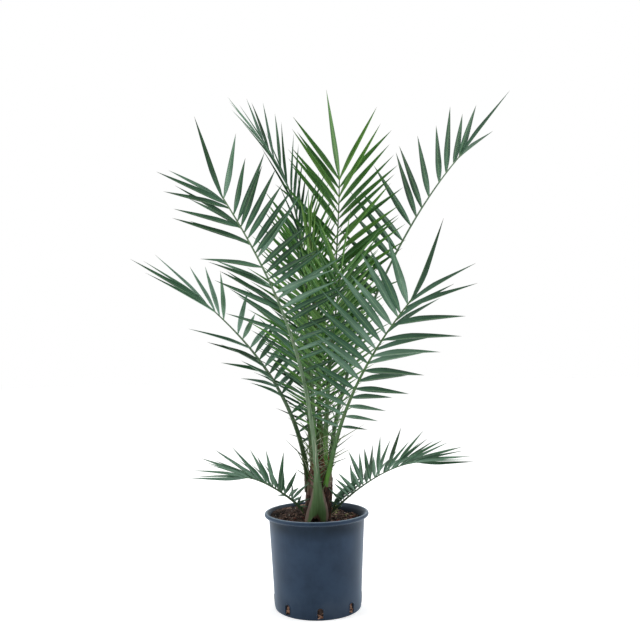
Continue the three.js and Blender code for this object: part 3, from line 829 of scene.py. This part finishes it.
# foot, tip: heading, distance and height, the foot's from the trunk's axis and the tip's from the pot's
# lean: degrees away from upright; aim: heading of the tip
# roll: how far the blade is turned about its rib; bare: share of the rib that carries no leaflets
# spread: degrees between leaflet and rib; vee: degrees by which leaflets rise from the blade's plane
# stalk: width of the rib; seed: sets the spray, and is the leaflets' length where it isn't given
fronds = {
    "frondFrontLeft": dict(
        foot=(274, 37, 200), tip=(229.2, 272.5, 893), lean=(0, 42.5), aim=227, pull=(0.4, 0.38),
        roll=(50, 8), bare=0.24, pairs=27, leaflet=170, seed=160, width=15.6, spread=(66, 42), vee=4,
        turn=-17, stalk=(13.6, 3), sheath=(40, 55), sway=(-5, 22), notch=(10, 0.17, 0.36, 10),
        bend=4, grow=2.4, taper=0.09, crowd=0.65, bunch=0.4, last=1.0, lastRoll=95,
        gaps=((1, 0.74, 0.76), (1, 0.785, 0.84), (-1, 0.96, 0.98)), swept=((1, 20, 0.55), (-1, -14, 0.62)),
        rib="ribSheath", leaves=("leafDeep", "leafGlaucous", "leafPale")),
    "frondFrontRight": dict(
        foot=(297, 33, 279), tip=(315, 281, 681), lean=(14.6, 48), aim=314.5, pull=(0.28, 0.47),
        roll=(-75, -9), bare=0.3, pairs=16, leaflet=194, seed=184, width=21, spread=(84, 50), vee=17,
        turn=20, stalk=(13, 3), sheath=(4, 30), bend=1.6, grow=1.2, crowd=0.75, last=1.04, lastRoll=95,
        loss=(-1, 0.2), rib="ribGreen", leaves=("leafGlaucous", "leafPale", "leafGlaucous")),
    "frondLeft": dict(
        foot=(191.4, 27, 262), tip=(148.7, 323.3, 719), lean=(0, 49.6), aim=163.7, pull=(0.38, 0.26),
        roll=(-23, -6), bare=0.16, pairs=23, leaflet=190, width=17, spread=(66, 7), vee=12, turn=-20,
        stalk=(13, 3), sheath=(4, 30), bend=3, grow=0.9, taper=-0.15, last=1.2, loss=(1, 0.25),
        gaps=((-1, 0, 0.37), (-1, 0.59, 0.62), (-1, 0.66, 0.9), (-1, 0.935, 0.96), (1, 0.935, 0.965)),
        rib="ribDark", leaves=("leafGlaucous", "leafPale", "leafHazy")),
    "frondBackLeft": dict(
        foot=(147, 19, 302), tip=(134.5, 171, 1113), lean=(5.6, 42.3), aim=136, pull=(0.54, 0.35),
        roll=(-65, -19), bare=0.25, pairs=18, leaflet=187, width=10, spread=(31, 10), vee=40,
        stalk=(11, 3), grow=0.9, last=1.08, loss=(-1, 0.4), gaps=((1, 0.27, 0.56), (1, 0.82, 0.84)),
        rib="ribGlaucous", leaves=("leafGlaucous", "leafPale", "leafHazy")),
    "frondCentre": dict(
        foot=(50, 15, 322), tip=(41, 91, 1003), lean=(3, 3), aim=60, roll=(42, 42), bare=0.25, pairs=22,
        leaflet=205, width=16, spread=(62, 34), vee=10, turn=-8, stalk=(10, 2.6), last=1.09, lastRoll=90,
        rib="ribSilver", leaves=("leafGrass", "leafMeadow", "leafYoung")),
    "frondRight": dict(
        foot=(5.6, 22, 300), tip=(13.7, 379, 1062.5), lean=(3.4, 42.8), aim=15, pull=(0.29, 0.3),
        roll=(-62, -72), bare=0.25, pairs=21, leaflet=220, seed=206, width=19, spread=(76, 21), vee=53,
        turn=4, stalk=(11, 3), bend=1.7, grow=1.2, taper=0.2, rank=4, last=0.99, lastRoll=-60,
        gaps=((-1, 0.26, 0.97), (1, 0.84, 0.87)),
        rib="ribGlaucous", leaves=("leafDeep", "leafGlaucous", "leafGlaucous")),
    "frondLowRight": dict(
        foot=(351.5, 31, 214), tip=(354.5, 238.4, 329), lean=(46, 88), aim=351.5, pull=(0.17, 0.36),
        roll=(-25, 6), bare=0.12, pairs=21, leaflet=134, width=13, spread=(88, 10), vee=25, turn=2,
        stalk=(7, 2.6), sheath=(0, 20), bend=2, grow=1.8, lastRoll=30, hugging=6,
        rib="ribDark", leaves=("leafGlaucous", "leafPale", "leafPale")),
    "frondLowLeft": dict(
        foot=(190.6, 31, 214), tip=(186.7, 163, 300), lean=(30, 88), aim=189, pull=(0.2, 0.25),
        roll=(18, 18), bare=0.12, pairs=19, leaflet=118, width=13, spread=(100, 12), vee=24,
        stalk=(9, 2.4), sheath=(0, 20), bend=1, grow=1.7, taper=0, last=1.1, lastRoll=30,
        rib="ribDark", leaves=("leafPale", "leafGlaucous", "leafHazy")),
    "frondInnerLeft": dict(
        foot=(215, 14, 322), tip=(116, 55, 865), lean=(2, 8), aim=110, roll=(-50, -50), bare=0.12, pairs=31,
        leaflet=185, width=10, spread=(60, 28), vee=8, stalk=(12, 3),
        rib="ribGreen", leaves=("leafYoung", "leafGrass", "leafMeadow")),
    "frondInnerRight": dict(
        foot=(310, 16, 318), tip=(343, 68, 759), lean=(2, 10), aim=340, roll=(-60, -60), bare=0.12, pairs=29,
        leaflet=170, width=10, spread=(60, 32), vee=8, stalk=(13, 3),
        rib="ribGreen", leaves=("leafGrass", "leafYoung", "leafMeadow")),
    "frondBack": dict(
        foot=(95, 22, 296), tip=(82, 290, 800), lean=(5, 46), aim=80, roll=(0, 0), bare=0.22, pairs=22,
        leaflet=165, width=12, spread=(66, 34), vee=18, stalk=(12, 3),
        rib="ribGreen", leaves=("leafMeadow", "leafGlaucous", "leafPale")),
    "frondBackLow": dict(
        foot=(112, 28, 248), tip=(98, 330, 640), lean=(14, 62), aim=98, roll=(0, 0), bare=0.2, pairs=22,
        leaflet=160, width=12, spread=(66, 34), vee=18, stalk=(13, 3),
        rib="ribDark", leaves=("leafDeep", "leafGlaucous", "leafPale")),
    "spearLeaf": dict(
        foot=(0, 0, 345), tip=(180, 4, 855), lean=(1, 1), aim=180, pull=(0.3, 0.3), roll=(90, 90), bare=0.4,
        pairs=8, leaflet=120, width=9, spread=(14, 7), vee=5, stalk=(9, 4), sheath=(15, 80),
        rib="ribOlive", leaves=("leafSpear", "leafYoung", "leafSpear")),
}
fronds = {name: {**usualFrond, "seed": own["leaflet"], **own} for name, own in fronds.items()}
rib = {
    "footRows": 22, "footShare": 0.12, "rows": 42, "across": 21, "narrowing": 1.4, "depthShare": 0.75,
    "depthLimit": 0.9, "hollow": 0.14, "bulbHug": 40, "hugLimit": 14, "hugFrom": 1.3,
}
leaflet = {
    "belly": 0.36, "neck": 0.24, "thinnest": 0.012, "bulge": 0.06, "rows": 15, "sunk": 4,
    "fold": ((0, 0.12, 0.4, 1), (56, 34, 38, 26)),  # degrees, at four shares of the length
    "thick": ((0, 0.15, 0.5, 1), (1.3, 0.55, 0.44, 0.2)),
    "twist": (-18, 18), "curl": (-0.03, 0.03), "droop": (0.007, 0.063), "lengths": (0.94, 1.06),
    "spreadSpray": 10, "veeSpray": 20, "shiftSpray": 0.35, "bunchTurn": 12,
    "firstLength": 0.3, "firstWidth": 0.4, "widen": 1.8, "toneShares": (0.4, 0.78),
    "proud": (26, 16, 12),  # how far tips may stand out of the solids' box
}
hugging = {  # leaflets along the foot of the rib, and where they aim
    "first": 0.015, "spacing": 0.02, "lift": (0, 0, 10), "step": (0, -2, 4), "aim": 0.42, "aside": 14,
    "rise": (6, 26), "facing": (0.1, -0.7, 0.7), "length": (0.58, 0.8), "width": 0.62, "tone": 2,
}
spine = {
    "first": 0.3, "spacing": 13, "length": (26.1, 72.5), "width": 3.3, "spread": (24, 58), "vee": (-8, 32),
    "growth": (0.55, 1.15), "sunk": 0.35, "green": 0.45, "shiftSpray": 0.5,
}
lowest = np.array(cadBox[0]) / millimetre - leaflet["proud"]
highest = np.array(cadBox[1]) / millimetre + leaflet["proud"]


def ribPoints(frond, share):  # Bezier curve from foot to tip, with its direction
    start = place(frond["foot"]) + trunkAxis(frond["foot"][2])
    end = place(frond["tip"])
    flat = end - start
    heading = math.degrees(math.atan2(flat[1], flat[0]))
    span = np.linalg.norm(flat)
    out = start + leaning(heading, frond["lean"][0]) * span * frond["pull"][0]
    back = end - leaning(frond["aim"], frond["lean"][1]) * span * frond["pull"][1]
    t = np.atleast_1d(share)[:, None]
    point = (1 - t) ** 3 * start + 3 * (1 - t) ** 2 * t * out + 3 * (1 - t) * t ** 2 * back + t ** 3 * end
    slope = (1 - t) ** 2 * (out - start) + 2 * (1 - t) * t * (back - out) + t ** 2 * (end - back)
    return point, unit(slope), place((heading - 90, 1, 0))


def ribFrame(frond, share):  # point, direction, top face and side at each share of the rib
    point, along, sideways = ribPoints(frond, share)
    flatTop = unit(np.cross(sideways, along))
    roll = np.radians(between(frond["roll"], np.atleast_1d(share)))[:, None]
    top = flatTop * np.cos(roll) + np.cross(along, flatTop) * np.sin(roll)
    return point, along, top, np.cross(along, top)


def ribSpot(frond, share):  # the same at one share
    return (value[0] for value in ribFrame(frond, share))


def ribLength(frond):
    points = ribPoints(frond, np.linspace(0, 1, 200))[0]
    return np.linalg.norm(np.diff(points, axis=0), axis=1).sum()


def ribWidth(frond, share):
    wider, fade = frond["sheath"]
    stalk = between(frond["stalk"][::-1], (1 - share) ** rib["narrowing"])
    return stalk + wider * np.exp(-((share * ribLength(frond) / fade) ** 2))


def ribSkin(frond):  # hollowed on its top face, round below, hugging the bulb where the sheath widens
    share = np.concatenate([
        np.linspace(0, rib["footShare"], rib["footRows"], endpoint=False),
        np.linspace(rib["footShare"], 1, rib["rows"])])
    point, along, top, side = (value[:, None] for value in ribFrame(frond, share))
    width = ribWidth(frond, share)[:, None]
    length = (share * ribLength(frond))[:, None]
    over = np.sin(np.linspace(-math.pi / 2, math.pi / 2, rib["across"]))
    under = over[-2:0:-1]
    across = np.concatenate([over, under])
    lift = 1 / 3 - np.concatenate([rib["hollow"] * (1 - over ** 2), np.sqrt(1 - under ** 2) ** 0.85])
    hug = np.minimum((width / 2) ** 2 / (2 * rib["bulbHug"]), rib["hugLimit"])
    hug = hug * (width > frond["stalk"][0] * rib["hugFrom"])
    rise = lift * np.minimum(width * rib["depthShare"], frond["stalk"][0] * rib["depthLimit"])
    swayed, fade = frond["sway"]
    aside = across * width / 2 - swayed * np.exp(-length / fade)
    height, middle, half, fade = frond["notch"]
    arch = np.clip(1 - ((across - middle) / half) ** 2, 0, 1) ** 0.5
    torn = height * (1 + 0.25 * np.sin(across * 23 + 1)) * arch * np.exp(-length / fade)
    rings = point + side * aside[..., None] + top * (rise + hug * across ** 2)[..., None]
    return *sweep(rings + along * torn[..., None]), skinMap(across, share)


bladeShare = np.linspace(0, 1, leaflet["rows"])
bladeShare = np.minimum(bladeShare, 0.3) + 0.7 * (np.maximum(bladeShare - 0.3, 0) / 0.7) ** 0.92
bladeAcross = np.array((-1, -0.55, 0, 0.55, 1, 0.55, 0, -0.55))
bladeUnder = np.array((0, 0, 0, 0, 0, 1, 1.35, 1))
bladeMarks = np.concatenate([np.tile(bladeUnder > 0, len(bladeShare)), (False, False)]).astype(float)


def bladeWidth(share):
    belly, neck = leaflet["belly"], leaflet["neck"]
    rising = neck + (1 - neck) * np.sin(np.clip(share / belly, 0, 1) * math.pi / 2) ** 0.9
    return rising * (1 - np.clip((share - belly) / (1 - belly), 0, 1) ** 1.22)


def bladeSkin(root, direction, breadth, up, length, width, twist, droop, curl):
    share = bladeShare[:, None]
    half = width / 2 * np.maximum(bladeWidth(share), leaflet["thinnest"])
    fold = np.radians(np.interp(share, *leaflet["fold"]))
    thick = np.minimum(np.interp(share, *leaflet["thick"]), half * 1.4)
    spin = np.radians(twist) * (share - 0.15)
    x = bladeAcross * half * np.cos(fold)
    y = np.abs(bladeAcross) * half * np.sin(fold) - bladeUnder * thick
    y = y + leaflet["bulge"] * (1 - (2 * np.abs(bladeAcross) - 1) ** 2) * half
    turnedX = x * np.cos(spin) - y * np.sin(spin)
    turnedY = x * np.sin(spin) + y * np.cos(spin)
    middle = root + length * (direction * share + (breadth * curl - upright * droop) * share ** 2)
    return sweep(middle[:, None] + breadth * turnedX[..., None] + up * turnedY[..., None])


def withinReach(root, direction, length):  # shortens a blade that would leave the solids' reach
    tip = root + direction * length
    held = np.clip(tip, lowest, highest)
    out = held != tip
    return length * min([1.0, *((held - root)[out] / (tip - root)[out])])


def addBlade(heap, frond, index, root, direction, along, up, length, width, droop=0.0, tone=None):
    seed = frond["seed"]
    breadth = unit(along - direction * np.dot(along, direction))
    facing = np.cross(direction, breadth)
    if np.dot(facing, up) < 0:
        facing = -facing
    if np.dot(np.cross(breadth, facing), direction) > 0:  # the skin's rings run clockwise in this pair
        breadth = -breadth
    curl = deal(leaflet["curl"], index, seed + 21)
    twist = deal(leaflet["twist"], index, seed + 23)
    length = withinReach(root, direction, length)
    skin = bladeSkin(root, direction, breadth, facing, length, width, twist, droop, curl)
    if tone is None:
        tone = sum(spray(index, seed + 29) >= limit for limit in leaflet["toneShares"])
    heap.add(*skin, skinMap(bladeAcross, bladeShare), slot=tone, marks=bladeMarks)


def outFrom(along, side, top, *angles):  # a direction that leaves the rib by its spread and its vee
    spread, vee = map(math.radians, angles)
    direction = along * math.cos(spread) + side * (math.cos(vee) * math.sin(spread))
    return unit(direction + top * (math.sin(vee) * math.sin(spread)))


def sweptBy(frond, hand, rank):
    return sum(by * min(1, max(0, (limit - rank) / 0.1)) for row, by, limit in frond["swept"] if row == hand)


def growLeaflets(frond):
    heap = Heap()
    seed, pairs = frond["seed"], frond["pairs"]
    lostRow, lostShare = frond["loss"]
    for pair in range(pairs):
        rank = (pair + 0.5) / pairs
        share = frond["bare"] + (1 - frond["bare"]) * rank ** frond["crowd"]
        size = min(1, leaflet["firstLength"] + frond["grow"] * rank) * (1 - frond["taper"] * rank * rank)
        width = frond["width"] * min(1, leaflet["firstWidth"] + leaflet["widen"] * rank)
        mean = between(frond["spread"], rank ** frond["bend"])
        for hand in (-1, 1):
            index = 2 * pair + (hand + 1) // 2
            lost = hand == lostRow and spray(index, seed + 41) < lostShare
            if lost or any(hand == row and start < share < end for row, start, end in frond["gaps"]):
                continue
            bunched = (pair % 3 - 1) * (hand == 1) * frond["bunch"]
            shift = (leaflet["shiftSpray"] * stray(index, seed + 13) - bunched) / pairs
            point, along, top, side = ribSpot(frond, share + shift)
            spread = mean - sweptBy(frond, hand, rank) + leaflet["spreadSpray"] * stray(index, seed)
            spread -= leaflet["bunchTurn"] * bunched
            ranked = frond["rank"] * (1 if pair % 2 else -1)
            vee = frond["vee"] + leaflet["veeSpray"] * stray(index, seed + 7) + ranked
            direction = outFrom(along, side * hand, top, spread, vee)
            length = frond["leaflet"] * size * deal(leaflet["lengths"], index, seed + 31)
            droop = deal(leaflet["droop"], index, seed + 37) * math.hypot(*direction[:2])
            addBlade(heap, frond, index, point, direction, along, top, length, width, droop)
    for i in range(frond["hugging"]):
        point, _, _, side = ribSpot(frond, hugging["first"] + hugging["spacing"] * i)
        aim = ribFrame(frond, hugging["aim"])[0][0] + side * hugging["aside"] * stray(i, seed + 43)
        aim = aim + upright * deal(hugging["rise"], i, seed + 47)
        root = point + np.array(hugging["lift"]) + np.array(hugging["step"]) * i
        direction = unit(aim - root)
        breadth = unit(np.cross(direction, hugging["facing"]))
        length = frond["leaflet"] * deal(hugging["length"], i, seed + 53)
        width = frond["width"] * hugging["width"]
        up = np.cross(breadth, direction)
        addBlade(heap, frond, 200 + i, root, direction, breadth, up, length, width, tone=hugging["tone"])
    point, along, top, side = ribSpot(frond, 1.0)
    turn, flat = math.radians(frond["turn"]), math.radians(frond["lastRoll"])
    direction = along * math.cos(turn) + side * math.sin(turn)
    breadth = top * math.cos(flat) + side * math.sin(flat)
    facing = side * math.cos(flat) - top * math.sin(flat)
    root = point - along * leaflet["sunk"]
    length = frond["leaflet"] * frond["last"]
    addBlade(heap, frond, 2 * pairs, root, direction, breadth, facing, length, frond["width"])
    return heap


def growSpines(heap, frond):  # stiff narrow spines below the first leaflets
    start = frond["bare"] * spine["first"]
    seed = frond["leaflet"] + frond["foot"][0]
    steps = np.linspace(0, 1, 7)
    radii = spine["width"] / 2 * np.interp(steps, (0, 0.15, 1), (1, 0.8, 0.08))
    count = int((frond["bare"] - start) * ribLength(frond) / spine["spacing"])
    for i in range(count):
        share = start + (frond["bare"] - start) * (i + 0.5) / count
        for hand in (-1, 1):
            index = 2 * i + (hand + 1) // 2
            shift = spine["shiftSpray"] * stray(index, seed + 1) / count * frond["bare"]
            point, along, top, side = ribSpot(frond, share + shift)
            spread, vee = deal(spine["spread"], index, seed), deal(spine["vee"], index, seed + 2)
            direction = outFrom(along, side * hand, top, spread, vee)
            reach = deal(spine["length"], index, seed + 3) * between(spine["growth"], i / count)
            root = point + side * hand * ribWidth(frond, share) * spine["sunk"]
            green = int(spray(index, seed + 4) < spine["green"])
            heap.addStrand(root + direction * (reach * steps)[:, None], radii, 6, green)


# Pale threads stand off the petioles, a few cross the foot of the crown, and one peels off the front rib.
loose = {
    "count": 70, "out": (14, 36), "rise": (262, 352), "aside": 240, "lean": (10, 72), "length": (22, 68),
    "curl": 3.5, "sag": 0.16, "radius": 0.34,
}
crossing = {
    "count": 11, "rise": (318, 384), "left": (-12, -4), "front": 27, "reach": (21.6, 36), "deeper": 6,
    "slant": 52, "bow": (-1.5, 3.5), "radius": 0.38,
}
peeled = {"start": 0.13, "end": 0.235, "across": -1.5, "wave": 1.8, "lift": 6.8, "radius": 0.7, "steps": 24}


def makePaleThreads():
    heap = Heap()
    share = np.linspace(0, 1, 16)
    axis = np.array((trunk["x"], trunk["y"], 0))
    for i in range(loose["count"]):
        heading = math.degrees(6.28 * spray(i, 101))
        foot = axis + place((heading, deal(loose["out"], i, 102), deal(loose["rise"], i, 103)))
        way = leaning(heading + loose["aside"] * stray(i, 104), between(loose["lean"], spray(i, 105) ** 1.5))
        length = deal(loose["length"], i, 106)
        curl = loose["curl"] * stray(i, 107) * np.sin(share * (3 + 4 * spray(i, 108)))
        sag = length * loose["sag"] * share ** 2
        points = foot + way * length * share[:, None] + stacked(curl, -curl, -sag)
        heap.addStrand(points, loose["radius"] * np.interp(share, (0, 0.7, 1), (1, 0.8, 0.25)), 5)
    for i in range(crossing["count"]):
        left = axis + (deal(crossing["left"], i, 142), -crossing["front"], deal(crossing["rise"], i, 141))
        way = stacked(deal(crossing["reach"], i, 143), crossing["deeper"], crossing["slant"] * stray(i, 144))
        points = left + way * share[:, None]
        points[:, 2] += deal(crossing["bow"], i, 145) * np.sin(share * math.pi)
        heap.addStrand(points, crossing["radius"] * np.interp(share, (0, 0.5, 1), (1, 0.9, 0.3)), 5)
    share = np.linspace(peeled["start"], peeled["end"], peeled["steps"])
    point, _, top, side = ribFrame(fronds["frondFrontLeft"], share)
    wave = peeled["across"] + peeled["wave"] * np.sin((share - peeled["start"]) * 60)
    points = point - top * peeled["lift"] + side * wave[:, None]
    heap.addStrand(points, peeled["radius"] * np.sin(np.linspace(0.3, 2.9, peeled["steps"])), 6)
    return makePiece("paleThreads", heap, ["paleThread"], 60)


trunkPieces = [makeBulb(), makeLeafBases(), makeStubs(), makeThreads(), makePaleThreads()]
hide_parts("trunk")
for piece in trunkPieces:
    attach(piece, "root")
print("trunk made")

spines = Heap()
leafCount = 0
for name, frond in fronds.items():
    stalk = Heap()
    stalk.add(*ribSkin(frond))
    leaves = growLeaflets(frond)
    leafCount += len(leaves.verts)
    made = [makePiece(name + "_rib", stalk, [frond["rib"]], 50)]
    made.append(makePiece(name + "_leaflets", leaves, frond["leaves"], 28))
    for piece in made:
        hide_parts(name)
        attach(piece, "root")
    if name != "spearLeaf":
        growSpines(spines, frond)
spinePiece = makePiece("petioleSpines", spines, ["spineFibre", "greenSpine"], 60)
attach(spinePiece, "root")
print("crown made:", len(fronds), "fronds,", leafCount, "leaflets")

studio = {
    "floorReach": 30, "worldFront": 0.22, "worldSides": 0.8, "floorTone": 0.9, "floorGlow": 0.42,
    "lights": [  # place, aim, width and height in metres, and power
        ((-2.0, -0.5, 1.9), (0, 0, 0.6), 1.2, 2.0, 26),
        ((2.1, 0.1, 1.7), (0, 0, 0.6), 1.0, 2.0, 18),
        ((0.2, 0.3, 2.9), (0, 0, 0.4), 1.8, 1.8, 34),
    ],
}
camera = {"place": (0, -1.548, 0.543), "roll": -1.0, "lens": 37.69, "shift": (0.0092, 0.078)}


def makeFloor():
    mesh = bpy.data.meshes.new("studioFloor")
    disc = bmesh.new()
    bmesh.ops.create_circle(disc, cap_ends=True, segments=96, radius=studio["floorReach"])
    disc.to_mesh(mesh)
    disc.free()
    material, wires, shader = newMaterial("palePaper", 0.9, 0.1)
    dark, light = ((tone, tone, tone, 1) for tone in (studio["floorTone"], studio["floorTone"] + 0.02))
    seen = wires.add("LightPath").outputs["Is Camera Ray"]  # keeps the paper white to the horizon
    wires.fill(shader, {
        "Base Color": wires.blend(wires.noise(wires.spot(), 40.0), dark, light),
        "Emission Color": (1, 1, 1, 1), "Emission Strength": wires.times(seen, studio["floorGlow"]),
    })
    mesh.materials.append(material)
    addObject("studioFloor", mesh)


def makeWorld():  # white for the eye, and dimmer from the viewer's side for the plant
    world = bpy.data.worlds.new("studioWorld")
    scene.world = world
    world.use_nodes = True
    world.node_tree.nodes.clear()
    wires = Wires(world.node_tree)
    way = wires.add("TexCoord").outputs["Generated"]
    depth = wires.add("SeparateXYZ", {0: way}).outputs[1]
    strength = wires.ramp(depth, -0.9, 0.1, studio["worldFront"], studio["worldSides"])
    lit = wires.add("Background", {0: (1, 1, 1, 1), 1: strength}).outputs[0]
    seen = wires.add("Background", {0: (1, 1, 1, 1), 1: 1.0}).outputs[0]
    ray = wires.add("LightPath").outputs["Is Camera Ray"]
    mixed = wires.add("MixShader", {0: ray, 1: lit, 2: seen}).outputs[0]
    wires.add("OutputWorld", {"Surface": mixed})


def makeLights():
    for i, (spot, aim, width, height, power) in enumerate(studio["lights"]):
        lamp = bpy.data.lights.new(f"softbox{i}", "AREA")
        lamp.shape = "RECTANGLE"
        lamp.size = width
        lamp.size_y = height
        lamp.energy = power
        holder = addObject(lamp.name, lamp)
        holder.location = spot
        holder.rotation_euler = (Vector(aim) - Vector(spot)).to_track_quat("-Z", "Y").to_euler()
        holder.visible_camera = False


def makeCamera():
    lens = bpy.data.cameras.new("photoCamera")
    lens.sensor_width = 36
    lens.lens = camera["lens"]
    lens.shift_x, lens.shift_y = camera["shift"]
    turn = Matrix.Rotation(math.pi / 2, 4, "X") @ Matrix.Rotation(math.radians(camera["roll"]), 4, "Z")
    scene.camera = addObject("photoCamera", lens)
    scene.camera.matrix_world = Matrix.Translation(camera["place"]) @ turn


makeFloor()
makeWorld()
makeLights()
makeCamera()
scene.view_settings.view_transform = "Standard"
print("studio made")
